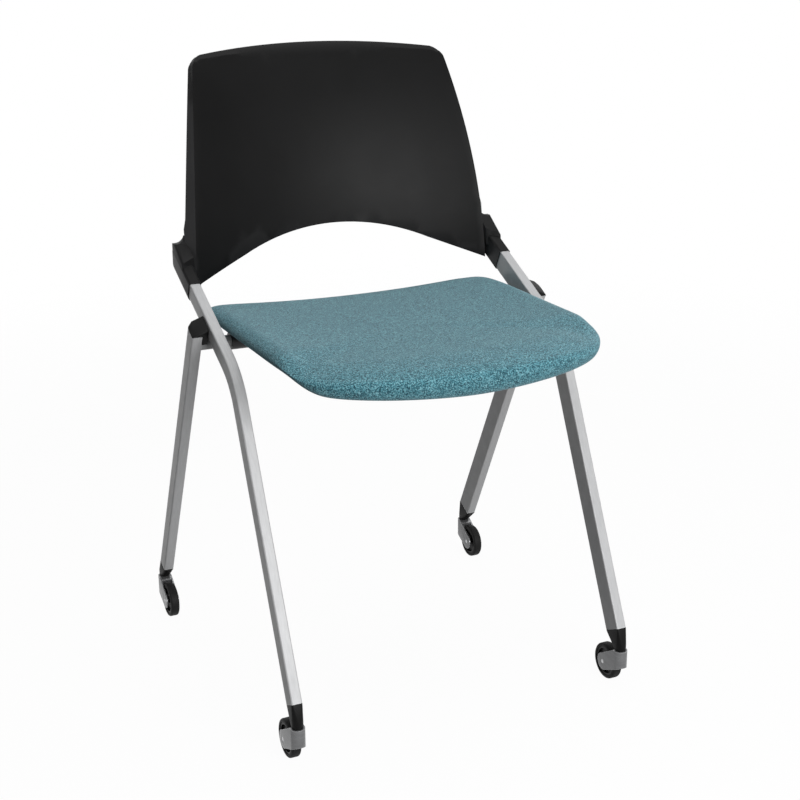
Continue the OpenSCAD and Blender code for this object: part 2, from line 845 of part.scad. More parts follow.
function under_ring(k) = [
    for (i = [0:outline_n - 1])
        let (q = inset_point(turn_of(i), under_inset),
             p = [q[0] * k, seat_mid_y + (q[1] - seat_mid_y) * k])
        [p[0], p[1], pan_top(p[1]) + pad_gap]
];
function roll_ring(a) = [
    for (i = [0:outline_n - 1])
        let (t = turn_of(i), p = inset_point(t, seat_roll * (1 - cos(a))), x = seat_x(t), y = seat_y(t),
             top = edge_top_z(x, y), low = edge_low_z(x, y))
        [p[0], p[1], (top + low + (top - low) * sin(a)) / 2]
];
function crown_ring(k) = [
    for (i = [0:outline_n - 1])
        let (t = turn_of(i), q = inset_point(t, seat_roll),
             edge = edge_top_z(seat_x(t), seat_y(t)), middle = seat_edge_z + seat_edge_h - seat_dish)
        [q[0] * k, seat_mid_y + (q[1] - seat_mid_y) * k, middle + (edge - middle) * pow(k, 2.6)]
];

// Cushion: dished crown, rolled edge that falls away at the front, and a hollow underside on the pan
module seat_cushion() {
    rings = concat(
        [for (k = under_shares) under_ring(k)],
        [for (j = [0:roll_steps]) roll_ring(-90 + 180 * j / roll_steps)],
        [for (k = crown_shares) crown_ring(k)]
    );
    n = outline_n;
    m = len(rings);
    low = [0, seat_mid_y, pan_top(seat_mid_y) + pad_gap];
    high = [0, seat_mid_y, seat_edge_z + seat_edge_h - seat_dish];
    points = concat([for (ring = rings, p = ring) p], [low, high]);
    walls = [
        for (j = [0:m - 2], i = [0:n - 1])
            let (a = j * n + i, b = j * n + (i + 1) % n)
            each [[a, a + n, b], [b, a + n, b + n]]
    ];
    floor_fan = [for (i = [0:n - 1]) [m * n, i, (i + 1) % n]];
    crown_fan = [for (i = [0:n - 1]) [m * n + 1, (m - 1) * n + (i + 1) % n, (m - 1) * n + i]];
    color(TEAL)
        polyhedron(points, concat(walls, floor_fan, crown_fan), convexity = 4);
}

// Place of a caster's swivel on the floor, and the way its wheel trails
function is_front(corner) = search("f", corner)[0] == 0;
function corner_side(corner) = corner == "front_left" || corner == "rear_left" ? LEFT : RIGHT;
function corner_x_at(corner) =
    corner_side(corner) * ((is_front(corner) ? leg_x : rear_leg_x) + tube_w / 2);
function corner_y_at(corner) = is_front(corner) ? front_stem_y : rear_stem_y;

// Moves a caster from its own frame, stem at the origin and wheel toward +Y, to its corner
module at_corner(corner) {
    translate([corner_x_at(corner), corner_y_at(corner), 0])
        rotate([0, 0, is_front(corner) ? 0 : 180])
            children();
}

// Stem: held in the ferrule, with a head under the fork's top plate
module caster_stem(corner) {
    color(STEEL)
        at_corner(corner)
            union() {
                translate([0, 0, fork_plate_z - turn_gap - stem_head_t])
                    cylinder(r = stem_head_r, h = stem_head_t);
                translate([0, 0, fork_plate_z - turn_gap - stem_head_t])
                    cylinder(r = stem_r, h = stem_top_z - fork_plate_z + turn_gap + stem_head_t);
            }
}

// Point where a line from p touches the circle round c; turn is 1 or -1 for the two tangents
function touch(p, c, r, turn) =
    let (v = p - c, a = atan2(v[1], v[0]) + turn * acos(r / norm(v)))
    c + r * [cos(a), sin(a)];

// Side view of the fork: an upright front, and arms that run down to the axle
module fork_side_view() {
    axle = [trail, wheel_r];
    front_top = [-fork_w / 2, fork_top_z];
    shoulder = [stem_r, fork_top_z];
    front_low = [-fork_w / 2, fork_low_z];
    polygon([
        front_low, front_top, shoulder,
        touch(shoulder, axle, fork_arm_r, -1),
        touch(front_low, axle, fork_arm_r, 1)
    ]);
}

// Plan view of the fork: two arms and a round front
module fork_plan(half) {
    union() {
        circle(half);
        translate([-half, 0])
            square([2 * half, trail + wheel_r]);
    }
}

// Fork: a bright band that goes round the stem and down both sides of the wheel
module caster_fork(corner) {
    inner = fork_gap_w / 2;
    color(CHROME)
        at_corner(corner)
            difference() {
                intersection() {
                    linear_extrude(fork_top_z)
                        fork_plan(fork_w / 2);
                    union() {
                        translate([-fork_w, 0, 0])
                            rotate([90, 0, 90])
                                linear_extrude(2 * fork_w)
                                    fork_side_view();
                        translate([-fork_w, trail, wheel_r])
                            rotate([0, 90, 0])
                                cylinder(r = fork_end_r, h = 2 * fork_w);
                    }
                }
                translate([0, 0, -over])
                    linear_extrude(fork_plate_z + over)
                        fork_plan(inner);
                translate([-inner, fork_w / 2, 0])
                    cube([2 * inner, trail + wheel_r, fork_top_z + over]);
                cylinder(r = stem_r + run_fit, h = fork_top_z + over);
                translate([-fork_w, trail, wheel_r])
                    rotate([0, 90, 0])
                        cylinder(r = axle_d / 2 + held_fit, h = 2 * fork_w);
            }
}

// Axle: a plain pin through both arms
module caster_axle(corner) {
    color(STEEL)
        at_corner(corner)
            translate([-fork_w / 2, trail, wheel_r])
                rotate([0, 90, 0])
                    cylinder(d = axle_d, h = fork_w);
}

// Turns a wheel's half profile, x outward from the axle and y across the wheel, about the axle
module wheel_turned(corner) {
    at_corner(corner)
        translate([0, trail, wheel_r])
            rotate([0, 90, 0])
                rotate_extrude()
                    children();
}

// Wheel core: hub, web and rim
module wheel_core(corner) {
    hub_w = fork_gap_w - 2 * turn_gap;
    rim_w = wheel_w - 2 * fork_t / 2;
    web_w = wheel_w / 3;
    rim_out = wheel_r - tyre_t - held_fit;
    rim_in = rim_out - tyre_t / 2;
    color(BLACK)
        wheel_turned(corner)
            union() {
                translate([axle_d / 2 + run_fit, -hub_w / 2])
                    square([axle_d / 2, hub_w]);
                translate([axle_d, -web_w / 2])
                    square([rim_out - axle_d, web_w]);
                translate([rim_in, -rim_w / 2])
                    square([rim_out - rim_in, rim_w]);
            }
}

// Tyre: a ring with bevelled tread edges
module tyre(corner) {
    bevel = tyre_t * 0.4;
    low = wheel_r - tyre_t;
    half = wheel_w / 2;
    color(RUBBER)
        wheel_turned(corner)
            polygon([
                [low, -half], [wheel_r - bevel, -half], [wheel_r, bevel - half],
                [wheel_r, half - bevel], [wheel_r - bevel, half], [low, half]
            ]);
}

front_tube(LEFT);  // front_tube_left
front_tube(RIGHT);  // front_tube_right
rear_tube(LEFT);  // rear_tube_left
rear_tube(RIGHT);  // rear_tube_right
cross_tube();
stop_pins();
leg_cap(LEFT);  // leg_cap_left
leg_cap(RIGHT);  // leg_cap_right
back_shell();
ferrule(LEFT, leg_x, front_end_y, front_stem_y, front_lean);  // ferrule_front_left
ferrule(RIGHT, leg_x, front_end_y, front_stem_y, front_lean);  // ferrule_front_right
ferrule(LEFT, rear_leg_x, rear_end_y, rear_stem_y, -rear_lean);  // ferrule_rear_left
ferrule(RIGHT, rear_leg_x, rear_end_y, rear_stem_y, -rear_lean);  // ferrule_rear_right
seat_pan();
seat_hinge(LEFT);  // seat_hinge_left
seat_hinge(RIGHT);  // seat_hinge_right
hinge_screws();
seat_cushion();
for (corner = CORNERS) {
    caster_stem(corner);
    caster_fork(corner);
    caster_axle(corner);
    wheel_core(corner);
    tyre(corner);
}
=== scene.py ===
"""Nesting chair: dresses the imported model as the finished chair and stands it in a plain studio."""

import logging
import math
from collections.abc import Callable, Iterable, Iterator
from contextlib import contextmanager
from dataclasses import dataclass
from enum import Enum

import bmesh
import bpy
import numpy as np
from mathutils import Matrix, Vector


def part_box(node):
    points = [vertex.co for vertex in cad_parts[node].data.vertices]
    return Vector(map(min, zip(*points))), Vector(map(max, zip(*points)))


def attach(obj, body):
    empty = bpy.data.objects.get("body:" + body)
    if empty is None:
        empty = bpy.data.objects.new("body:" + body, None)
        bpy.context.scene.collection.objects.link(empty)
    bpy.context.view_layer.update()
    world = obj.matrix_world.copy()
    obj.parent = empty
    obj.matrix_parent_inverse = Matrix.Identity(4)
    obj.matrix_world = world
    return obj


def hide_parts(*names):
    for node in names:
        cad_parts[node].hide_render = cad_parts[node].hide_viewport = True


LOG = logging.getLogger("nesting_chair")
MM = 0.001
Piece = bpy.types.Object
Material = bpy.types.Material
Node = bpy.types.Node
Socket = str | int
Pair = tuple[float, float]
Triple = tuple[float, float, float]
NOISE_SPAN = (0.3, 0.7)
NODE_MERGE = 0.002 * MM
PIECE_MERGE = 0.001 * MM
EDGE_FACES = 3
# Angles in degrees
FLAT_ANGLE = 1
ROUND_ANGLE = 35
CRISP_ANGLE = 40
TURNED_CRISP = 35
MIX_FIRST, MIX_SECOND, MIX_RESULT = 6, 7, 2

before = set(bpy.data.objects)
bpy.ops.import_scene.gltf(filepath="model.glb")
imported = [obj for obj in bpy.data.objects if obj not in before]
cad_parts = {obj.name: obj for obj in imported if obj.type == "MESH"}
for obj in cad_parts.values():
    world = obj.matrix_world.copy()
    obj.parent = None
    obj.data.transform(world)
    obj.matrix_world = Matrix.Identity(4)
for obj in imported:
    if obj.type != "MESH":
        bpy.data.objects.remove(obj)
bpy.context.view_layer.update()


class Corner(Enum):
    """One of the four feet of the chair."""

    FRONT_LEFT = "front_left"
    FRONT_RIGHT = "front_right"
    REAR_LEFT = "rear_left"
    REAR_RIGHT = "rear_right"


class Side(Enum):
    """A side of the chair, with the sign of its x."""

    LEFT = -1
    RIGHT = 1

    @property
    def word(self) -> str:
        """The side's name in node names."""
        return self.name.lower()


# Modelling helpers


def deselect_all() -> None:
    """Leaves nothing selected, in object mode."""
    if bpy.context.mode != "OBJECT":
        bpy.ops.object.mode_set(mode="OBJECT")
    bpy.ops.object.select_all(action="DESELECT")


def make_active(piece: Piece) -> None:
    """Selects one object alone and makes it the active one.

    Args:
        piece: Object to select.
    """
    deselect_all()
    piece.select_set(True)
    bpy.context.view_layer.objects.active = piece


@contextmanager
def edited(piece: Piece) -> Iterator[None]:
    """Opens a piece in edit mode, with its whole mesh selected, and closes it again.

    Args:
        piece: Piece to edit.
    """
    make_active(piece)
    bpy.ops.object.mode_set(mode="EDIT")
    bpy.ops.mesh.select_all(action="SELECT")
    yield
    bpy.ops.object.mode_set(mode="OBJECT")


def clamped(value: float) -> float:
    """Keeps a value inside 0 and 1.

    Args:
        value: Any number.

    Returns:
        The nearest number from 0 to 1.
    """
    return min(1.0, max(0.0, value))


def eased(share: float) -> float:
    """Makes a share start and end softly.

    Args:
        share: Number from 0 to 1.

    Returns:
        The softened share.
    """
    return share * share * (3 - 2 * share)


def named(name: str) -> Piece:
    """Names the object that an operator has just added.

    Args:
        name: Name of the piece and of its mesh.

    Returns:
        The active object.
    """
    piece = bpy.context.object
    piece.name = name
    piece.data.name = name
    return piece


def apply_modifier(piece: Piece, kind: str, **values: object) -> None:
    """Adds a modifier to a piece and applies it.

    Args:
        piece: Piece to change.
        kind: Blender's name of the modifier type.
        values: Settings of the modifier.
    """
    make_active(piece)
    modifier = piece.modifiers.new(kind.lower(), kind)
    for key, value in values.items():
        setattr(modifier, key, value)
    bpy.ops.object.modifier_apply(modifier=modifier.name)


def smooth(piece: Piece, degrees: float) -> None:
    """Shades a piece smoothly, but for edges sharper than an angle.

    Args:
        piece: Piece to shade.
        degrees: Angle above which an edge stays crisp.
    """
    make_active(piece)
    bpy.ops.object.shade_smooth_by_angle(angle=math.radians(degrees))


def recalculate(piece: Piece) -> None:
    """Merges a piece's doubles and turns its faces outward.

    Args:
        piece: Closed piece to repair.
    """
    with edited(piece):
        bpy.ops.mesh.remove_doubles(threshold=PIECE_MERGE)
        bpy.ops.mesh.normals_make_consistent(inside=False)


def node_copy(node: str, name: str) -> Piece:
    """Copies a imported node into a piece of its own, with its loose triangles merged.

    Args:
        node: Name of the node.
        name: Name of the new piece.

    Returns:
        The new piece, at the node's place.
    """
    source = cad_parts[node]
    piece = bpy.data.objects.new(name, source.data.copy())
    bpy.context.scene.collection.objects.link(piece)
    piece.data.name = name
    piece.data.materials.clear()
    for key in list(piece.keys()):
        del piece[key]
    make_active(piece)
    if piece.data.has_custom_normals:
        bpy.ops.mesh.customdata_custom_splitnormals_clear()
    with edited(piece):
        bpy.ops.mesh.remove_doubles(threshold=NODE_MERGE)
    return piece


def round_edges(piece: Piece, radius: float, angle: float = ROUND_ANGLE) -> None:
    """Merges a piece's flat triangles and rounds its sharp edges.

    Args:
        piece: Piece to round.
        radius: Radius of the rounded edges.
        angle: Least angle of an edge that is rounded, in degrees.
    """
    with edited(piece):
        bpy.ops.mesh.dissolve_limited(angle_limit=math.radians(FLAT_ANGLE))
    apply_modifier(
        piece, "BEVEL", width=radius, segments=EDGE_FACES, limit_method="ANGLE",
        angle_limit=math.radians(angle), use_clamp_overlap=True, harden_normals=False,
    )
    smooth(piece, CRISP_ANGLE)


def rounded_copy(node: str, name: str, radius: float, angle: float = ROUND_ANGLE) -> Piece:
    """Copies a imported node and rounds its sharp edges.

    Args:
        node: Name of the node that the piece is a finer form of.
        name: Name of the new piece.
        radius: Radius of the rounded edges.
        angle: Least angle of an edge that is rounded, in degrees.

    Returns:
        The rounded piece.
    """
    piece = node_copy(node, name)
    round_edges(piece, radius, angle)
    return piece


def turned(name: str, outline: Iterable[Pair], centre: Vector, steps: int) -> Piece:
    """Spins a closed outline about an axle that runs along X.

    Args:
        name: Name of the piece.
        outline: Points (along the axle, outward from it) of the closed outline.
        centre: Middle of the turned piece.
        steps: Number of steps round the axle.

    Returns:
        The turned piece.
    """
    deselect_all()
    bpy.ops.mesh.primitive_plane_add(size=1, location=(0, 0, 0))
    piece = named(name)
    shape = bmesh.new()
    corners = [shape.verts.new((centre.x + a, centre.y, centre.z + r)) for a, r in outline]
    for i, corner in enumerate(corners):
        shape.edges.new((corner, corners[(i + 1) % len(corners)]))
    shape.to_mesh(piece.data)
    shape.free()
    with edited(piece):
        bpy.ops.mesh.spin(steps=steps, angle=math.tau, center=centre, axis=(1, 0, 0))
    recalculate(piece)
    smooth(piece, TURNED_CRISP)
    return piece


# Finishes


class Recipe:
    """A material's graph while it is being put together."""

    def __init__(self, name: str) -> None:
        """Starts an empty graph that ends in one shader.

        Args:
            name: Name of the material.
        """
        self.material = bpy.data.materials.new(name)
        self.material.use_nodes = True
        self.tree = self.material.node_tree
        self.tree.nodes.clear()
        self.output = self.tree.nodes.new("ShaderNodeOutputMaterial")
        self.shader = self.add("ShaderNodeBsdfPrincipled")
        self.join(self.shader, "BSDF", self.output, "Surface")
        self.place = self.add("ShaderNodeTexCoord")

    def add(self, kind: str, **values: object) -> Node:
        """Adds a node and sets its sockets and properties.

        Args:
            kind: Blender's name of the node type.
            values: Values by socket or property name, with blanks written as underlines.

        Returns:
            The new node.
        """
        node = self.tree.nodes.new(kind)
        for key, value in values.items():
            socket = node.inputs.get(key.replace("_", " "))
            if socket is None:
                setattr(node, key, value)
            else:
                socket.default_value = value
        return node

    def join(self, source: Node, out: Socket, target: Node, into: Socket) -> None:
        """Links one socket to another.

        Args:
            source: Node that gives the value.
            out: Its socket.
            target: Node that takes the value.
            into: Its socket.
        """
        self.tree.links.new(source.outputs[out], target.inputs[into])

    def spread(self, scale: float | Triple) -> Node:
        """Maps the object's own coordinates.

        Args:
            scale: Number of pattern units in a metre, the same or one for each axis.

        Returns:
            The mapping node.
        """
        mapping = self.add("ShaderNodeMapping")
        mapping.inputs["Scale"].default_value = scale if isinstance(scale, tuple) else (scale,) * 3
        self.join(self.place, "Object", mapping, "Vector")
        return mapping

    def noise(self, mapping: Node, scale: float = 1, detail: float = 3, rough: float = 0.5) -> Node:
        """Adds a noise over a mapping.

        Args:
            mapping: Node that gives the place.
            scale: Scale on top of the mapping's.
            detail: Number of finer layers.
            rough: Strength of the finer layers.

        Returns:
            The noise node.
        """
        node = self.add("ShaderNodeTexNoise", Scale=scale, Detail=detail, Roughness=rough)
        self.join(mapping, "Vector", node, "Vector")
        return node

    def range(self, source: Node, out: Socket, results: Iterable[float], span: Pair) -> Node:
        """Maps a value from one range to another, and keeps it inside.

        Args:
            source: Node that gives the value.
            out: Its socket.
            results: Results at the start and at the end.
            span: Values where the range starts and ends.

        Returns:
            The mapping node.
        """
        (low, high), (start, end) = results, span
        node = self.add("ShaderNodeMapRange", From_Min=start, From_Max=end, To_Min=low, To_Max=high)
        self.join(source, out, node, "Value")
        return node

    def ramp(
        self, source: Node, out: Socket, places: Iterable[float], colours: Iterable[Triple],
    ) -> Node:
        """Colours a value by a ramp.

        Args:
            source: Node that gives the value.
            out: Its socket.
            places: Value at each stop of the ramp.
            colours: Colour of each stop.

        Returns:
            The ramp node.
        """
        node = self.add("ShaderNodeValToRGB")
        stops = list(zip(places, colours))
        elements = node.color_ramp.elements
        while len(elements) < len(stops):
            elements.new(0.5)
        for element, (at, colour) in zip(elements, stops):
            element.position = at
            element.color = (*colour, 1)
        self.join(source, out, node, "Fac")
        return node

    def shaded(
        self, first: tuple[Node, Socket], second: tuple[Node, Socket], factor: float = 1,
    ) -> Node:
        """Multiplies one colour by another.

        Args:
            first: Source of the colour, as (node, socket).
            second: Source of what it is multiplied by, as (node, socket).
            factor: Share of the effect.

        Returns:
            The mixing node, whose colour is in its MIX_RESULT socket.
        """
        node = self.add("ShaderNodeMix", data_type="RGBA", blend_type="MULTIPLY")
        node.inputs[0].default_value = factor
        self.join(*first, node, MIX_FIRST)
        self.join(*second, node, MIX_SECOND)
        return node

    def lightened(self, colour: Node, out: Socket, factor: Node, by: Socket) -> None:
        """Multiplies a colour by a number and gives it to the shader.

        Args:
            colour: Node that gives the colour.
            out: Its socket.
            factor: Node that gives the number.
            by: Its socket.
        """
        node = self.add("ShaderNodeVectorMath", operation="SCALE")
        self.join(colour, out, node, 0)
        self.join(factor, by, node, "Scale")
        self.join(node, 0, self.shader, "Base Color")

    def roughened(self, cloud: Node, roughs: Iterable[float]) -> None:
        """Lets the shader's roughness follow a noise.

        Args:
            cloud: The noise.
            roughs: Roughness at its low and at its high end.
        """
        node = self.range(cloud, "Fac", roughs, NOISE_SPAN)
        self.join(node, "Result", self.shader, "Roughness")

    def bump(
        self, source: Node, out: Socket, height: float, strength: float = 1, before: Node | None = None,
    ) -> Node:
        """Raises the surface by a value.

        Args:
            source: Node that gives the height.
            out: Its socket.
            height: Height of a value of 1, in metres.
            strength: Strength of the effect.
            before: A bump that this one is laid over.

        Returns:
            The bump node, linked to the shader.
        """
        node = self.add("ShaderNodeBump", Strength=strength, Distance=height)
        self.join(source, out, node, "Height")
        if before is not None:
            self.join(before, "Normal", node, "Normal")
        self.join(node, "Normal", self.shader, "Normal")
        return node

    def set(self, **values: object) -> None:
        """Sets sockets of the shader.

        Args:
            values: Values by socket name, with blanks written as underlines.
        """
        for key, value in values.items():
            self.shader.inputs[key.replace("_", " ")].default_value = value


def tinted(tone: Triple, *factors: float) -> list[Triple]:
    """Makes lighter and darker forms of a colour.

    Args:
        tone: The colour.
        factors: How much lighter each form is, with 1 for no change.

    Returns:
        One colour for each factor.
    """
    return [tuple(min(1.0, c * factor) for c in tone) for factor in factors]


@dataclass(frozen=True)
class SatinMetal:
    """Drawn or painted metal with a fine grain along its length and painted highlights on its edges."""

    name: str
    tone: Triple
    metallic: float = 0.9
    rough: float = 0.3
    grain: Triple = (900, 60, 60)
    grain_span: Pair = (0.35, 0.65)
    grain_height: float = 0.01 * MM
    specular: float = 0.5
    brushed: float = 0.93
    clouds: float = 14
    cloud_tones: Pair = (0.97, 1.03)
    cloud_rough: Pair = (0.85, 1.2)
    # Painted edge highlight: its gain (1 for none), the rounding radius and the span of normal bend that
    # it fades in over.
    edge: float = 1.0
    highlight_width: float = 1.2 * MM
    highlight_bend: Pair = (0.86, 0.97)

    def material(self) -> Material:
        """Builds the material.

        Returns:
            The finished material.
        """
        recipe = Recipe(self.name)
        fine = recipe.noise(recipe.spread(self.grain), detail=4, rough=0.6)
        cloud = recipe.noise(recipe.spread(self.clouds))
        shade = recipe.ramp(cloud, "Fac", NOISE_SPAN, tinted(self.tone, *self.cloud_tones))
        speck = recipe.ramp(fine, "Fac", self.grain_span, tinted((1, 1, 1), self.brushed, 1))
        colour = recipe.shaded((shade, "Color"), (speck, "Color"))
        # Painted highlight: the colour is made paler near the edges, where the rounded normal bends away
        # from the true one.
        edge = recipe.range(self.bend(recipe), "Value", (self.edge, 1), self.highlight_bend)
        recipe.lightened(colour, MIX_RESULT, edge, "Result")
        recipe.roughened(cloud, [self.rough * share for share in self.cloud_rough])
        recipe.bump(fine, "Fac", self.grain_height)
        recipe.set(Metallic=self.metallic, Specular_IOR_Level=self.specular)
        return recipe.material

    def bend(self, recipe: Recipe) -> Node:
        """Compares the true normal with one that is rounded over the edges, to place the painted edge
        highlight.

        Args:
            recipe: Material to add the nodes to.

        Returns:
            A node whose value is 1 on a flat face and less near an edge.
        """
        facing = recipe.add("ShaderNodeNewGeometry")
        round_over = recipe.add("ShaderNodeBevel", Radius=self.highlight_width, samples=4)
        alike = recipe.add("ShaderNodeVectorMath", operation="DOT_PRODUCT")
        recipe.join(facing, "True Normal", alike, 0)
        recipe.join(round_over, "Normal", alike, 1)
        return alike


@dataclass(frozen=True)
class MouldedPlastic:
    """Moulded plastic with a fine spark-eroded texture, with painted highlights on faces turned sideways
    and on sharp edges.
    """

    name: str
    tone: Triple
    rough: float = 0.42
    pit: float = 0.9 * MM
    pit_height: float = 0.03 * MM
    specular: float = 0.35
    clouds: float = 9
    cloud_tones: Pair = (0.85, 1.2)
    cloud_rough: Pair = (0.92, 1.1)
    # Painted highlights: the gain on faces turned sideways (1 for none) and the gain on sharp edges,
    # each with the span it fades in over.
    side_highlight: float = 1.0
    side_highlight_facing: Pair = (0.5, 0.85)
    edge_highlight: float = 1.6
    edge_highlight_bend: Pair = (0.52, 0.6)

    def material(self) -> Material:
        """Builds the material.

        Returns:
            The finished material.
        """
        recipe = Recipe(self.name)
        pits = recipe.noise(recipe.spread(1 / self.pit), rough=0.55)
        cloud = recipe.noise(recipe.spread(self.clouds), detail=4, rough=0.55)
        colour = recipe.ramp(cloud, "Fac", NOISE_SPAN, tinted(self.tone, *self.cloud_tones))
        # Painted highlights: faces whose normal points sideways along X, and edges of high pointiness,
        # are made paler.
        facing = recipe.add("ShaderNodeNewGeometry")
        parts = recipe.add("ShaderNodeSeparateXYZ")
        recipe.join(facing, "Normal", parts, "Vector")
        across = recipe.add("ShaderNodeMath", operation="ABSOLUTE")
        recipe.join(parts, "X", across, 0)
        lift = recipe.range(across, 0, (1, self.side_highlight), self.side_highlight_facing)
        edge = recipe.range(facing, "Pointiness", (1, self.edge_highlight), self.edge_highlight_bend)
        highlight_gain = recipe.add("ShaderNodeMath", operation="MULTIPLY")
        recipe.join(lift, "Result", highlight_gain, 0)
        recipe.join(edge, "Result", highlight_gain, 1)
        recipe.lightened(colour, "Color", highlight_gain, 0)
        recipe.roughened(cloud, [self.rough * share for share in self.cloud_rough])
        recipe.bump(pits, "Fac", self.pit_height)
        recipe.set(Specular_IOR_Level=self.specular)
        return recipe.material


@dataclass(frozen=True)
class Rubber:
    """Soft tyre rubber, dusty in patches."""

    name: str
    tone: Triple
    dust: float = 1.9
    dust_patches: float = 60
    dust_span: Pair = (0.4, 0.75)
    rough: Pair = (0.5, 0.72)
    grain: float = 1500
    grain_height: float = 0.03 * MM
    specular: float = 0.15

    def material(self) -> Material:
        """Builds the material.

        Returns:
            The finished material.
        """
        recipe = Recipe(self.name)
        cloud = recipe.noise(recipe.spread(self.dust_patches), detail=5, rough=0.65)
        fine = recipe.noise(recipe.spread(self.grain), detail=2)
        colour = recipe.ramp(cloud, "Fac", self.dust_span, tinted(self.tone, 1, self.dust))
        recipe.join(colour, "Color", recipe.shader, "Base Color")
        recipe.roughened(cloud, self.rough)
        recipe.bump(fine, "Fac", self.grain_height)
        recipe.set(Specular_IOR_Level=self.specular)
        return recipe.material


@dataclass(frozen=True)
class HeatheredWeave:
    """Upholstery woven from threads of several close tones, in a fine crepe."""

    name: str
    deep: Triple
    middle: Triple
    pale: Triple
    sheen: Triple
    thread: float = 1.18 * MM
    thread_steps: tuple[float, ...] = (0.0, 0.38, 0.6, 1.0)
    thread_end: float = 0.8
    thread_height: float = 0.8
    pile: float = 0.35 * MM
    waver: float = 0.9
    waver_scale: float = 0.6
    stray: float = 0.9
    fleck: Triple = (0.1, 0.17, 0.2)
    fleck_scale: float = 0.75
    fleck_span: Pair = (0.4, 0.54)
    fleck_share: float = 0.85
    fleck_height: float = 0.6
    clouds: float = 11
    cloud: float = 0.93

    def material(self) -> Material:
        """Builds the material.

        Returns:
            The finished material.
        """
        recipe = Recipe(self.name)
        per_metre = 1 / self.thread
        cells = self.cells(recipe, per_metre)
        pick = recipe.add("ShaderNodeSeparateColor")
        recipe.join(cells, "Color", pick, "Color")
        tones = (self.deep, self.middle, self.middle, self.pale)
        threads = recipe.ramp(pick, 0, self.thread_steps, tones)
        fleck_noise = recipe.noise(recipe.spread(per_metre * self.fleck_scale), detail=2, rough=0.6)
        flecks = recipe.ramp(fleck_noise, "Fac", self.fleck_span, (self.fleck, (1, 1, 1)))
        colour = recipe.shaded((threads, "Color"), (flecks, "Color"), self.fleck_share)
        cloud = recipe.noise(recipe.spread(self.clouds))
        shade = recipe.ramp(cloud, "Fac", NOISE_SPAN, tinted((1, 1, 1), self.cloud, 1))
        worn = recipe.shaded((colour, MIX_RESULT), (shade, "Color"))
        recipe.join(worn, MIX_RESULT, recipe.shader, "Base Color")
        lift = recipe.range(cells, "Distance", (1, 0), (0, self.thread_end))
        first = recipe.bump(lift, "Result", self.pile, strength=self.thread_height)
        recipe.bump(fleck_noise, "Fac", self.pile, strength=self.fleck_height, before=first)
        recipe.set(Roughness=0.92, Specular_IOR_Level=0.2, Sheen_Weight=0.4, Sheen_Roughness=0.5)
        recipe.set(Sheen_Tint=(*self.sheen, 1))
        return recipe.material

    def cells(self, recipe: Recipe, per_metre: float) -> Node:
        """Lays the threads' visible ends out as wavering cells.

        Args:
            recipe: Material to add the nodes to.
            per_metre: Number of threads in a metre.

        Returns:
            The cell node.
        """
        even = recipe.spread(per_metre)
        waver = recipe.noise(even, scale=self.waver_scale, detail=2)
        bent = recipe.add("ShaderNodeVectorMath", operation="MULTIPLY_ADD")
        bent.inputs[1].default_value = (self.waver,) * 3
        recipe.join(waver, "Color", bent, 0)
        recipe.join(even, "Vector", bent, 2)
        cells = recipe.add("ShaderNodeTexVoronoi", Scale=1, Randomness=self.stray)
        recipe.join(bent, "Vector", cells, "Vector")
        return cells


class Finishes:
    """Every finish on the chair, each made once."""

    def __init__(self) -> None:
        """Builds the materials."""
        # The tube and the fork band carry painted highlights on their edges, set by edge.
        self.tube = SatinMetal(
            "satin_silver_tube", (0.47, 0.474, 0.48),
            metallic=0.05, rough=0.34, specular=0.22, brushed=0.88, edge=1.45,
        ).material()
        self.chrome = SatinMetal(
            "bright_fork_band", (0.176, 0.178, 0.182),
            metallic=0.55, rough=0.26, grain=(60, 60, 300), brushed=0.84, edge=2.8,
        ).material()
        self.steel = SatinMetal("plated_fastener", (0.5, 0.5, 0.51), metallic=1).material()
        # The back carries strong painted highlights on its sideways faces and on its edges.
        self.back = MouldedPlastic(
            "satin_black_back", (0.0034, 0.0034, 0.0035), specular=0.08, side_highlight=4.6, edge_highlight=2.6,
        ).material()
        self.cap = MouldedPlastic(
            "matt_black_cap", (0.0038, 0.0038, 0.0038), rough=0.46, specular=0.09).material()
        self.hinge = MouldedPlastic("matt_black_hinge", (0.009, 0.009, 0.0095), rough=0.5).material()
        self.pan = MouldedPlastic(
            "black_seat_pan", (0.011, 0.011, 0.0115), rough=0.55, pit=1.4 * MM).material()
        self.wheel = MouldedPlastic(
            "black_wheel", (0.005, 0.005, 0.005), rough=0.38, specular=0.14).material()
        self.tyre = Rubber("black_tread", (0.005, 0.005, 0.005)).material()
        self.weave = HeatheredWeave(
            "teal_heathered_weave", deep=(0.012, 0.062, 0.09), middle=(0.092, 0.275, 0.33),
            pale=(0.245, 0.5, 0.565), sheen=(0.66, 0.82, 0.88),
        ).material()


def dress(piece: Piece, material: Material) -> None:
    """Gives every face of a piece one material.

    Args:
        piece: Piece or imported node.
        material: Material to assign.
    """
    if not piece.data.materials:
        piece.data.materials.append(material)
    for i in range(len(piece.data.materials)):
        piece.data.materials[i] = material


# Sub-assemblies


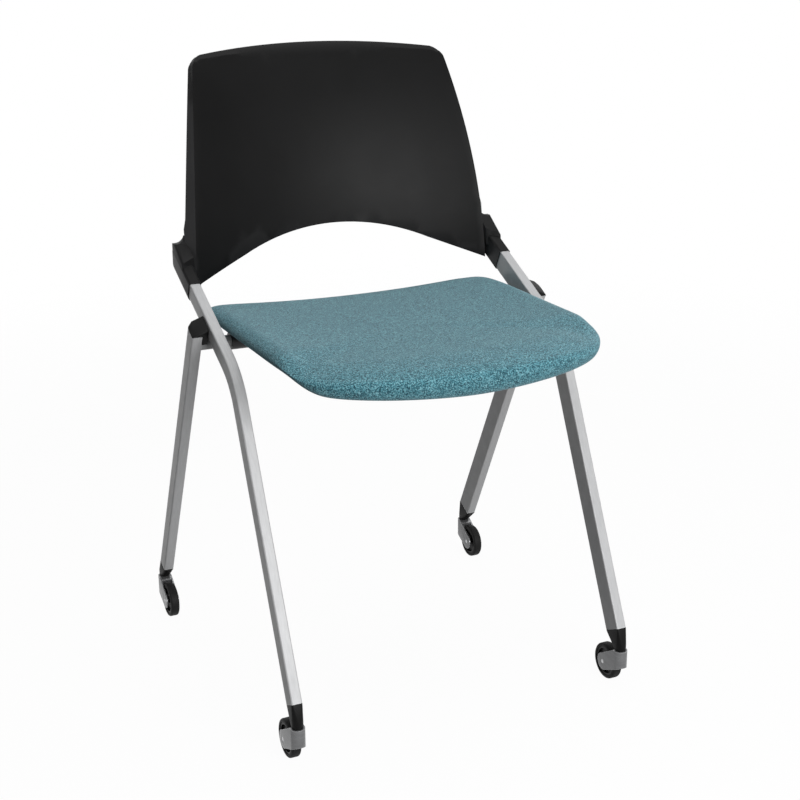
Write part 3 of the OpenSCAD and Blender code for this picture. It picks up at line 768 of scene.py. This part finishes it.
@dataclass
class TubeFrame:
    """Legs, cross tube and the caps on the rear legs."""

    finishes: Finishes
    bead: tuple[Pair, ...] = (
        (-0.4, 0.0), (-0.4, 2.4), (0.5, 2.5), (1.2, 2.2), (1.8, 1.7), (2.3, 1.1), (2.6, 0.5), (2.6, 0.0))
    bead_sink: float = 0.6 * MM
    bead_turns: int = 144
    bead_ripples: int = 24
    bead_ripple: float = 0.14 * MM
    bead_still: float = 0.2 * MM
    bead_crisp: float = 60
    cap_edge: float = 0.45 * MM
    cap_drop: float = math.tan(math.radians(24))
    cap_full: float = 1.6
    cap_fade: float = 7 * MM
    cap_lean: float = math.radians(22.8)

    def build(self) -> None:
        """Dresses the tubes and makes the caps and welds."""
        dress(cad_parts["cross_tube"], self.finishes.tube)
        dress(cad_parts["stop_pins"], self.finishes.steel)
        for side in Side:
            for leg in ("front_tube", "rear_tube"):
                dress(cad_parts[f"{leg}_{side.word}"], self.finishes.tube)
            self.cap(side)
            self.weld(side)
        LOG.info("frame")

    def weld(self, side: Side) -> None:
        """Lays the weld bead round the cross tube where it meets a front leg.

        Args:
            side: Side of the chair.
        """
        tube_low, tube_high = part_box("cross_tube")
        leg_low, leg_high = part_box(f"front_tube_{side.word}")
        face = leg_high.x if side is Side.LEFT else leg_low.x
        middle = (tube_low + tube_high) / 2
        radius = (tube_high.z - tube_low.z) / 2
        sunk = radius - self.bead_sink
        outline = [(-side.value * along * MM, sunk + out * MM) for along, out in self.bead]
        piece = turned(
            f"weld_{side.word}", outline, Vector((face, middle.y, middle.z)), self.bead_turns)
        for vertex in piece.data.vertices:
            along = Vector((vertex.co.x, middle.y, middle.z))
            across = vertex.co - along
            angle = math.atan2(across.z, across.y)
            if across.length > radius + self.bead_still:
                rise = self.bead_ripple * math.sin(self.bead_ripples * angle)
                vertex.co = along + across * (1 + rise / across.length)
        recalculate(piece)
        smooth(piece, self.bead_crisp)
        dress(piece, self.finishes.tube)
        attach(piece, "frame")

    def cap(self, side: Side) -> None:
        """Makes the cap of one rear leg, whose top falls away outward.

        Args:
            side: Side of the chair.
        """
        piece = node_copy(f"leg_cap_{side.word}", f"cap_{side.word}")
        axis = Vector((0, -math.sin(self.cap_lean), math.cos(self.cap_lean)))
        top = max(v.co.dot(axis) for v in piece.data.vertices)
        inner = min(abs(v.co.x) for v in piece.data.vertices)
        for vertex in piece.data.vertices:
            share = clamped(self.cap_full + (vertex.co.dot(axis) - top) / self.cap_fade)
            vertex.co -= axis * share * self.cap_drop * (abs(vertex.co.x) - inner)
        round_edges(piece, self.cap_edge)
        dress(piece, self.finishes.cap)
        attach(piece, "frame")
        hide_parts(f"leg_cap_{side.word}")


@dataclass
class BackRest:
    """The moulded back with its rim and leg sockets."""

    finishes: Finishes
    edge: float = 1.4 * MM
    edge_angle: float = 30
    grid: float = 1.6 * MM
    grid_reach: float = 2.4
    grid_middle: float = 0.8
    grid_outside: int = 3
    grid_from: float = 0.5
    corner_r: float = 15.5 * MM
    corner_slack: float = 2.5 * MM
    corner_still: float = 0.2
    corner_ease: float = 0.55
    side_strip: float = 100 * MM
    top_share: float = 0.75
    diagonal: Pair = (0.8, 1.25)
    bins: int = 24
    web_x: float = 242 * MM
    web_y: float = 160 * MM
    web_z: float = 596.3 * MM
    web_r: float = 16.4 * MM
    web_top: float = 588.1 * MM
    web_top_slack: float = 0.2 * MM
    web_top_from: float = 0.8
    web_top_to: float = 0.95
    web_slack: float = 0.25 * MM
    web_below: float = 1 * MM
    web_span: Pair = (8, 60)
    web_turn: float = 1.25
    fillet_x: float = 238 * MM
    fillet_z: float = 592.4 * MM
    fillet_r: float = 12.5 * MM
    draft: float = math.tan(math.radians(25))
    fall: float = math.tan(math.radians(20))

    def build(self) -> None:
        """Makes the back, with the rounded edges and fillets of a moulding."""
        piece = node_copy("back_shell", "back_moulding")
        self.tighten_webs(piece)
        round_edges(piece, self.edge, self.edge_angle)
        self.score(piece)
        self.round_corners(piece)
        smooth(piece, CRISP_ANGLE)
        dress(piece, self.finishes.back)
        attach(piece, "frame")
        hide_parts("back_shell")
        LOG.info("back, %d faces", len(piece.data.polygons))

    def tighten_webs(self, piece: Piece) -> None:
        """Draws the fillets above the leg sockets in, and carries them up to the rim.

        Args:
            piece: The back.
        """
        first, last = (math.radians(a) for a in self.web_span)
        lowest = self.web_z - self.web_r - self.web_below
        for vertex in piece.data.vertices:
            co = vertex.co
            a, b = self.web_x - abs(co.x), self.web_z - co.z
            if co.y < self.web_y or a < 0 or co.z <= lowest:
                continue
            angle = math.atan2(a, b)
            if abs(co.z - self.web_top) < self.web_top_slack and a > self.web_r * self.web_top_from:
                turn, inward = last * self.web_turn, a < self.web_r * self.web_top_to
            elif abs(math.hypot(a, b) - self.web_r) < self.web_slack and angle >= first:
                turn, inward = (angle - first) / (last - first) * last * self.web_turn, True
            else:
                continue
            co.z = self.fillet_z - self.fillet_r * math.cos(turn)
            if inward:
                co.x = math.copysign(self.fillet_x - self.fillet_r * math.sin(turn), co.x)

    def score(self, piece: Piece) -> None:
        """Cuts the corners' faces along a fine grid, a third of it outside grid_middle.

        Args:
            piece: The back.
        """
        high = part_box("back_shell")[1]
        depth = self.grid_reach * self.corner_r
        inner, lowest = high.x * self.grid_from, high.z - depth
        mesh = bmesh.new()
        mesh.from_mesh(piece.data)
        bmesh.ops.triangulate(mesh, faces=[f for f in mesh.faces if len(f.verts) > 4])
        count = int(depth / self.grid)
        for step in range(count):
            aside = high.x * self.grid_middle - (step - count / self.grid_outside) * self.grid
            for where, normal in (((0, 0, high.z - step * self.grid), (0, 0, 1)),
                                  ((aside, 0, 0), (1, 0, 0)), ((-aside, 0, 0), (1, 0, 0))):
                near = [f for f in mesh.faces
                        if any(v.co.z > lowest and abs(v.co.x) > inner for v in f.verts)]
                parts = {part for face in near for part in (face, *face.edges, *face.verts)}
                bmesh.ops.bisect_plane(
                    mesh, geom=list(parts), plane_co=where, plane_no=normal, dist=PIECE_MERGE)
        mesh.to_mesh(piece.data)
        mesh.free()

    def round_corners(self, piece: Piece) -> None:
        """Gives the two top corners a wider round, and carries the rim along.

        Args:
            piece: The back, scored along the grid.
        """
        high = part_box("back_shell")[1]
        points = [v.co for v in piece.data.vertices]
        top, half = high.z - self.corner_r, high.x * self.top_share
        side_line = self.outline([
            (p.z, abs(p.x) - p.y * self.draft) for p in points if top - self.side_strip < p.z < top])
        top_line = self.outline([
            (abs(p.x), p.z + p.y * self.fall) for p in points if abs(p.x) < half])
        found = []
        for vertex in piece.data.vertices:
            co = vertex.co
            a = self.corner_r - side_line(co.z) + abs(co.x) - co.y * self.draft
            b = self.corner_r - top_line(abs(co.x)) + co.z + co.y * self.fall
            if a > 0 and b > 0:
                found.append((co, a, b))
        flat, steep = self.diagonal
        diagonal = max(math.hypot(a, b) for co, a, b in found if flat < a / b < steep)
        old = (math.sqrt(2) * self.corner_r - diagonal) / (math.sqrt(2) - 1)
        LOG.info("back's corners, %.1f mm before", old / MM)
        old = min(old + self.corner_slack, self.corner_r)
        for co, a, b in found:
            reach = math.hypot(a, b)
            edge = self.square_reach(a / reach, b / reach, old)
            share = eased(clamped((reach / edge - self.corner_still) / self.corner_ease))
            scale = min(self.corner_r / reach, 1 + (self.corner_r / edge - 1) * share)
            co.x -= math.copysign(a - a * scale, co.x)
            co.z -= b - b * scale

    def square_reach(self, a: float, b: float, radius: float) -> float:
        """Measures how far a square as wide as the new round reaches from its inner corner.

        Args:
            a: Share of the direction across.
            b: Share of the direction upward.
            radius: Radius that its outer corner is rounded with.

        Returns:
            The distance in metres.
        """
        inset = self.corner_r - radius
        if a * self.corner_r < b * inset:
            return self.corner_r / b
        if b * self.corner_r < a * inset:
            return self.corner_r / a
        along = inset * (a + b)
        return along + math.sqrt(max(0.0, along * along - 2 * inset * inset + radius * radius))

    def outline(self, pairs: list[Pair]) -> Callable[[float], float]:
        """Fits a parabola through the outermost point of each stretch of an outline.

        Args:
            pairs: Place along the outline and distance outward of each point.

        Returns:
            A function from place to distance.
        """
        low, high = min(p[0] for p in pairs), max(p[0] for p in pairs)
        best: dict[int, Pair] = {}
        for at, out in pairs:
            key = min(self.bins - 1, int((at - low) / (high - low) * self.bins))
            if key not in best or out > best[key][1]:
                best[key] = (at, out)
        return np.poly1d(np.polyfit(*zip(*best.values()), deg=2))


@dataclass
class Seat:
    """Cushion, pan, hinges and their screws."""

    finishes: Finishes
    pan_edge: float = 1.2 * MM
    screw_head: float = 9 * MM
    screw_edge: float = 0.8 * MM
    screw_angle: float = 50
    socket: float = 3 * MM
    socket_depth: float = 1.6 * MM
    quad_face: float = math.radians(60)
    quad_shape: float = math.radians(75)
    pressure: float = 3.0
    quality: int = 5
    stretch: float = 15
    bending: float = 2
    frames: int = 16
    hold: float = 1.6
    swell: float = 2.0 * MM
    evening: int = 12
    ease_length: float = 62 * MM
    ease_drop: float = 5.5 * MM
    strip: float = 12 * MM
    corner_middle: float = -69.4 * MM
    corner_round: float = 7.7
    corner_square: float = 15

    def build(self) -> None:
        """Makes the cushion and dresses the rest."""
        self.cushion()
        pan = rounded_copy("seat_pan", "seat_board", self.pan_edge)
        dress(pan, self.finishes.pan)
        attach(pan, "seat")
        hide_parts("seat_pan")
        for side in Side:
            dress(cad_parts[f"seat_hinge_{side.word}"], self.finishes.hinge)
        self.screws()
        LOG.info("seat pan, hinges and screws")

    def screws(self) -> None:
        """Rounds the hinge screws' heads and sinks a hexagon socket into each."""
        piece = rounded_copy("hinge_screws", "screw_heads", self.screw_edge, self.screw_angle)
        low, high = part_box("hinge_screws")
        aside = high.x - self.screw_head / 2
        middle, half = (low.y + high.y) / 2, (high.y - low.y) / 2 - self.screw_head / 2
        for side in Side:
            for end in (-1, 1):
                deselect_all()
                bpy.ops.mesh.primitive_cylinder_add(
                    vertices=6, radius=self.socket / math.sqrt(3), depth=2 * self.socket_depth,
                    location=(side.value * aside, middle + end * half, low.z))
                cutter = named("socket_cutter")
                apply_modifier(piece, "BOOLEAN", operation="DIFFERENCE", solver="EXACT", object=cutter)
                bpy.data.objects.remove(cutter)
        smooth(piece, CRISP_ANGLE)
        dress(piece, self.finishes.steel)
        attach(piece, "seat")
        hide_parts("hinge_screws")

    def cushion(self) -> None:
        """Makes the padded seat."""
        piece = node_copy("seat_cushion", "seat_pad")
        with edited(piece):
            bpy.ops.mesh.tris_convert_to_quads(
                face_threshold=self.quad_face, shape_threshold=self.quad_shape)
        apply_modifier(piece, "SUBSURF", levels=2, render_levels=2)
        self.fill_corners(piece)
        self.ease_front(piece)
        self.puff(piece)
        apply_modifier(piece, "SUBSURF", levels=1, render_levels=1)
        make_active(piece)
        bpy.ops.object.shade_smooth()
        dress(piece, self.finishes.weave)
        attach(piece, "seat")
        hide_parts("seat_cushion")
        LOG.info("cushion, %d faces", len(piece.data.polygons))

    def fill_corners(self, piece: Piece) -> None:
        """Draws the two rear corners out, nearly square.

        Args:
            piece: Pad to shape.
        """
        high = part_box("seat_cushion")[1]
        middle, depth = self.corner_middle, high.y - self.corner_middle
        for vertex in piece.data.vertices:
            across, back = abs(vertex.co.x) / high.x, (vertex.co.y - middle) / depth
            if back <= 0 or across == 0:
                continue
            round_reach, square_reach = (
                (across ** power + back ** power) ** (1 / power)
                for power in (self.corner_round, self.corner_square))
            scale = round_reach / square_reach
            vertex.co.x *= scale
            vertex.co.y = middle + (vertex.co.y - middle) * scale

    def ease_front(self, piece: Piece) -> None:
        """Lets the top fall away sooner toward the front edge.

        Args:
            piece: Pad to shape.
        """
        strips: dict[int, float] = {}
        for vertex in piece.data.vertices:
            strip = int(abs(vertex.co.x) / self.strip)
            strips[strip] = min(strips.get(strip, 0.0), vertex.co.y)
        facing_up = [clamped(vertex.normal.z) for vertex in piece.data.vertices]
        for vertex, above in zip(piece.data.vertices, facing_up):
            place = abs(vertex.co.x) / self.strip - 0.5
            first = max(0, int(place))
            near = strips[first]
            edge = near + (strips.get(first + 1, near) - near) * clamped(place - first)
            ahead = clamped(1 - (vertex.co.y - edge) / self.ease_length)
            vertex.co.z -= self.ease_drop * eased(ahead) * above

    def puff(self, piece: Piece) -> None:
        """Fills the pad by a short cloth simulation, with its underside held on the pan.

        Args:
            piece: Pad to fill.
        """
        mesh = piece.data
        start = [v.co.copy() for v in mesh.vertices]
        out = [v.normal.copy() for v in mesh.vertices]
        held = piece.vertex_groups.new(name="held")
        for i, n in enumerate(out):
            held.add([i], clamped(-n.z * self.hold), "REPLACE")
        cloth = piece.modifiers.new("padding", "CLOTH")
        cloth.settings.use_pressure = True
        cloth.settings.uniform_pressure_force = self.pressure
        cloth.settings.effector_weights.gravity = 0
        cloth.settings.vertex_group_mass = held.name
        cloth.settings.quality = self.quality
        cloth.settings.tension_stiffness = self.stretch
        cloth.settings.compression_stiffness = self.stretch
        cloth.settings.bending_stiffness = self.bending
        cloth.collision_settings.use_collision = False
        cloth.collision_settings.use_self_collision = False
        cloth.point_cache.frame_start = 1
        cloth.point_cache.frame_end = self.frames
        scene = bpy.context.scene
        for number in range(1, self.frames + 1):
            scene.frame_set(number)
        puffed = piece.evaluated_get(bpy.context.evaluated_depsgraph_get())
        ends = [v.co.copy() for v in puffed.data.vertices]
        scene.frame_set(1)
        piece.modifiers.remove(cloth)
        piece.vertex_groups.clear()
        rise = [max(0.0, min(self.swell, (new - old).dot(n))) for new, old, n in zip(ends, start, out)]
        for vertex, old, n, height in zip(mesh.vertices, start, out, self.evened(mesh, rise)):
            vertex.co = old + n * height

    def evened(self, mesh: bpy.types.Mesh, heights: list[float]) -> list[float]:
        """Evens out a height over a mesh, so that it makes no wrinkles.

        Args:
            mesh: Mesh that the heights belong to.
            heights: One height for each vertex.

        Returns:
            The evened heights.
        """
        edges = [tuple(edge.vertices) for edge in mesh.edges]
        count = [0] * len(heights)
        for a, b in edges:
            count[a] += 1
            count[b] += 1
        for _ in range(self.evening):
            total = [0.0] * len(heights)
            for a, b in edges:
                total[a] += heights[b]
                total[b] += heights[a]
            heights = [(h + t / n) / 2 for h, t, n in zip(heights, total, count)]
        return heights


@dataclass
class Caster:
    """One caster: fork, axle, wheel and tyre, with the ferrule over it."""

    corner: Corner
    finishes: Finishes
    fork_edge: float = 0.5 * MM
    ferrule_edge: float = 0.7 * MM
    ferrule_angle: float = 28
    tread_edge: float = 2.6 * MM
    tread_deep: float = 5 * MM
    tread_lip: float = 0.4 * MM
    tread_steps: int = 5
    tread_turns: int = 72

    def build(self) -> None:
        """Makes and dresses the corner's pieces."""
        word = self.corner.value
        dress(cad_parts[f"caster_stem_{word}"], self.finishes.steel)
        dress(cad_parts[f"caster_axle_{word}"], self.finishes.steel)
        dress(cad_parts[f"wheel_core_{word}"], self.finishes.wheel)
        fork = rounded_copy(f"caster_fork_{word}", f"fork_band_{word}", self.fork_edge)
        self.place(fork, self.finishes.chrome, f"fork_{word}", f"caster_fork_{word}", "fork")
        ferrule = rounded_copy(f"ferrule_{word}", f"foot_{word}", self.ferrule_edge, self.ferrule_angle)
        self.place(ferrule, self.finishes.cap, "frame", f"ferrule_{word}", "cap")
        self.place(self.tread(), self.finishes.tyre, f"wheel_{word}", f"tyre_{word}", "tyre")
        LOG.info("caster %s", word)

    def place(self, piece: Piece, material: Material, body: str, node: str, slot: str) -> None:
        """Dresses a piece, hangs it on the body that it rides on and hides the node that it stands for.

        Args:
            piece: The piece.
            material: Its material.
            body: Body that it rides on.
            node: Node that it stands for.
            slot: Its material slot; not used.
        """
        dress(piece, material)
        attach(piece, body)
        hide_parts(node)

    def tread(self) -> Piece:
        """Turns the tyre, with rounded shoulders.

        Returns:
            The tyre.
        """
        low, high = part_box(f"tyre_{self.corner.value}")
        centre = (low + high) / 2
        half, outer = (high.x - low.x) / 2, (high.z - low.z) / 2
        inner, lip = outer - self.tread_deep, self.tread_lip
        radius = self.tread_edge
        points = [(-half + lip, inner), (-half, inner + lip)]
        for sign, start in ((-1, math.pi), (1, math.pi / 2)):
            for step in range(self.tread_steps + 1):
                angle = start - step * math.pi / 2 / self.tread_steps
                points.append((sign * (half - radius) + radius * math.cos(angle),
                               outer - radius + radius * math.sin(angle)))
        points += [(half, inner + lip), (half - lip, inner)]
        return turned(f"tread_{self.corner.value}", points, centre, self.tread_turns)


# Studio


@dataclass(frozen=True)
class Lamp:
    """A square soft lamp, in metres and watts."""

    name: str
    middle: Triple
    side: float
    power: float

    def build(self, aim: Triple) -> None:
        """Hangs the lamp up.

        Args:
            aim: Place that it points at.
        """
        data = bpy.data.lights.new(self.name, "AREA")
        data.shape = "SQUARE"
        data.size = self.side
        data.energy = self.power
        lamp = bpy.data.objects.new(self.name, data)
        bpy.context.scene.collection.objects.link(lamp)
        lamp.location = self.middle
        lamp.rotation_mode = "QUATERNION"
        lamp.rotation_quaternion = (Vector(aim) - Vector(self.middle)).to_track_quat("-Z", "Y")


@dataclass
class Studio:
    """Floor, light and camera."""

    lamps: tuple[Lamp, ...] = (
        Lamp("key_light", (0.4, -2.9, 1.15), 1.7, 88),
        Lamp("top_light", (0.3, -0.1, 2.9), 2.4, 38),
    )
    lamp_aim: Triple = (0, 0, 0.45)
    location: Triple = (-0.7746, -1.7007, 0.9773)
    azimuth: float = -24.948
    elevation: float = 17.919
    roll: float = -0.285
    lens: float = 64.93
    sensor: float = 36.0
    floor_side: float = 8.0
    floor_bounce: float = 0.12
    floor_glow: float = 0.965
    floor_grain: float = 30
    floor_tones: Pair = (0.86, 0.9)
    fade_start: float = 1.0
    fade_end: float = 2.6
    fill: float = 0.095

    def build(self) -> None:
        """Makes the floor, the lamps, the surroundings and the camera."""
        self.floor()
        self.surroundings()
        for lamp in self.lamps:
            lamp.build(self.lamp_aim)
        self.camera()
        bpy.context.scene.view_settings.view_transform = "Standard"
        LOG.info("studio")

    def background_rays(self, tree: bpy.types.NodeTree) -> Node:
        """Tells the rays that show the background from those that light the chair.

        Args:
            tree: Graph to add the nodes to.

        Returns:
            A node whose first output is 1 for a ray that shows the background.
        """
        path = tree.nodes.new("ShaderNodeLightPath")
        shown = path.outputs["Is Camera Ray"]
        for ray in ("Is Glossy Ray", "Is Transmission Ray"):
            either = tree.nodes.new("ShaderNodeMath")
            either.operation = "MAXIMUM"
            tree.links.new(shown, either.inputs[0])
            tree.links.new(path.outputs[ray], either.inputs[1])
            shown = either.outputs[0]
        return either

    def floor(self) -> None:
        """Makes the pale floor, which keeps the chair's shadow but shows white to the eye."""
        deselect_all()
        bpy.ops.mesh.primitive_plane_add(size=self.floor_side, location=(0, 0, 0))
        piece = named("studio_floor")
        recipe = Recipe("pale_floor")
        recipe.set(Roughness=0.9, Specular_IOR_Level=0.1)
        seen = self.background_rays(recipe.tree)
        grain = recipe.noise(recipe.spread(self.floor_grain), detail=4)
        pale = recipe.ramp(grain, "Fac", NOISE_SPAN, tinted((1, 1, 1), *self.floor_tones))
        tone = recipe.add("ShaderNodeMix", data_type="RGBA")
        tone.inputs[MIX_FIRST].default_value = (self.floor_bounce,) * 3 + (1,)
        recipe.join(seen, 0, tone, 0)
        recipe.join(pale, "Color", tone, MIX_SECOND)
        recipe.join(tone, MIX_RESULT, recipe.shader, "Base Color")
        light = recipe.add("ShaderNodeEmission", Color=(1, 1, 1, 1), Strength=1)
        share = recipe.add("ShaderNodeMath", operation="MULTIPLY")
        share.inputs[1].default_value = self.floor_glow
        recipe.join(seen, 0, share, 0)
        blend = recipe.add("ShaderNodeMixShader")
        recipe.join(share, 0, blend, 0)
        recipe.join(recipe.shader, "BSDF", blend, 1)
        recipe.join(light, "Emission", blend, 2)
        away = recipe.add("ShaderNodeVectorMath", operation="LENGTH")
        recipe.join(recipe.place, "Object", away, 0)
        fade = recipe.range(away, "Value", (0, 1), (self.fade_start, self.fade_end))
        fade.interpolation_type = "SMOOTHSTEP"
        clear = recipe.add("ShaderNodeBsdfTransparent")
        whole = recipe.add("ShaderNodeMixShader")
        recipe.join(fade, "Result", whole, 0)
        recipe.join(blend, 0, whole, 1)
        recipe.join(clear, 0, whole, 2)
        recipe.join(whole, 0, recipe.output, "Surface")
        dress(piece, recipe.material)

    def surroundings(self) -> None:
        """Makes the white surroundings, and the darker ones that light the chair."""
        world = bpy.data.worlds.new("studio_surroundings")
        bpy.context.scene.world = world
        world.use_nodes = True
        tree = world.node_tree
        tree.nodes.clear()
        output = tree.nodes.new("ShaderNodeOutputWorld")
        blend = tree.nodes.new("ShaderNodeMixShader")
        tree.links.new(self.background_rays(tree).outputs[0], blend.inputs[0])
        for into, strength in ((1, self.fill), (2, 1)):
            sky = tree.nodes.new("ShaderNodeBackground")
            sky.inputs["Color"].default_value = (1, 1, 1, 1)
            sky.inputs["Strength"].default_value = strength
            tree.links.new(sky.outputs[0], blend.inputs[into])
        tree.links.new(blend.outputs[0], output.inputs["Surface"])

    def camera(self) -> None:
        """Sets the camera at the photograph's viewpoint."""
        a, e, r = (math.radians(v) for v in (self.azimuth, self.elevation, self.roll))
        back = Vector((math.sin(a) * math.cos(e), -math.cos(a) * math.cos(e), math.sin(e)))
        right = Vector((math.cos(a), math.sin(a), 0))
        up = back.cross(right)
        right, up = right * math.cos(r) + up * math.sin(r), up * math.cos(r) - right * math.sin(r)
        data = bpy.data.cameras.new("camera")
        data.lens = self.lens
        data.sensor_width = self.sensor
        camera = bpy.data.objects.new("camera", data)
        bpy.context.scene.collection.objects.link(camera)
        camera.rotation_mode = "QUATERNION"
        camera.rotation_quaternion = Matrix((right, up, back)).transposed().to_quaternion()
        camera.location = self.location
        bpy.context.scene.camera = camera


def main() -> None:
    """Builds the chair's sub-assemblies in order, then the studio."""
    logging.basicConfig(level=logging.INFO, format="%(name)s: %(message)s")
    finishes = Finishes()
    TubeFrame(finishes).build()
    BackRest(finishes).build()
    Seat(finishes).build()
    for corner in Corner:
        Caster(corner, finishes).build()
    Studio().build()


if __name__ == "__main__":
    main()
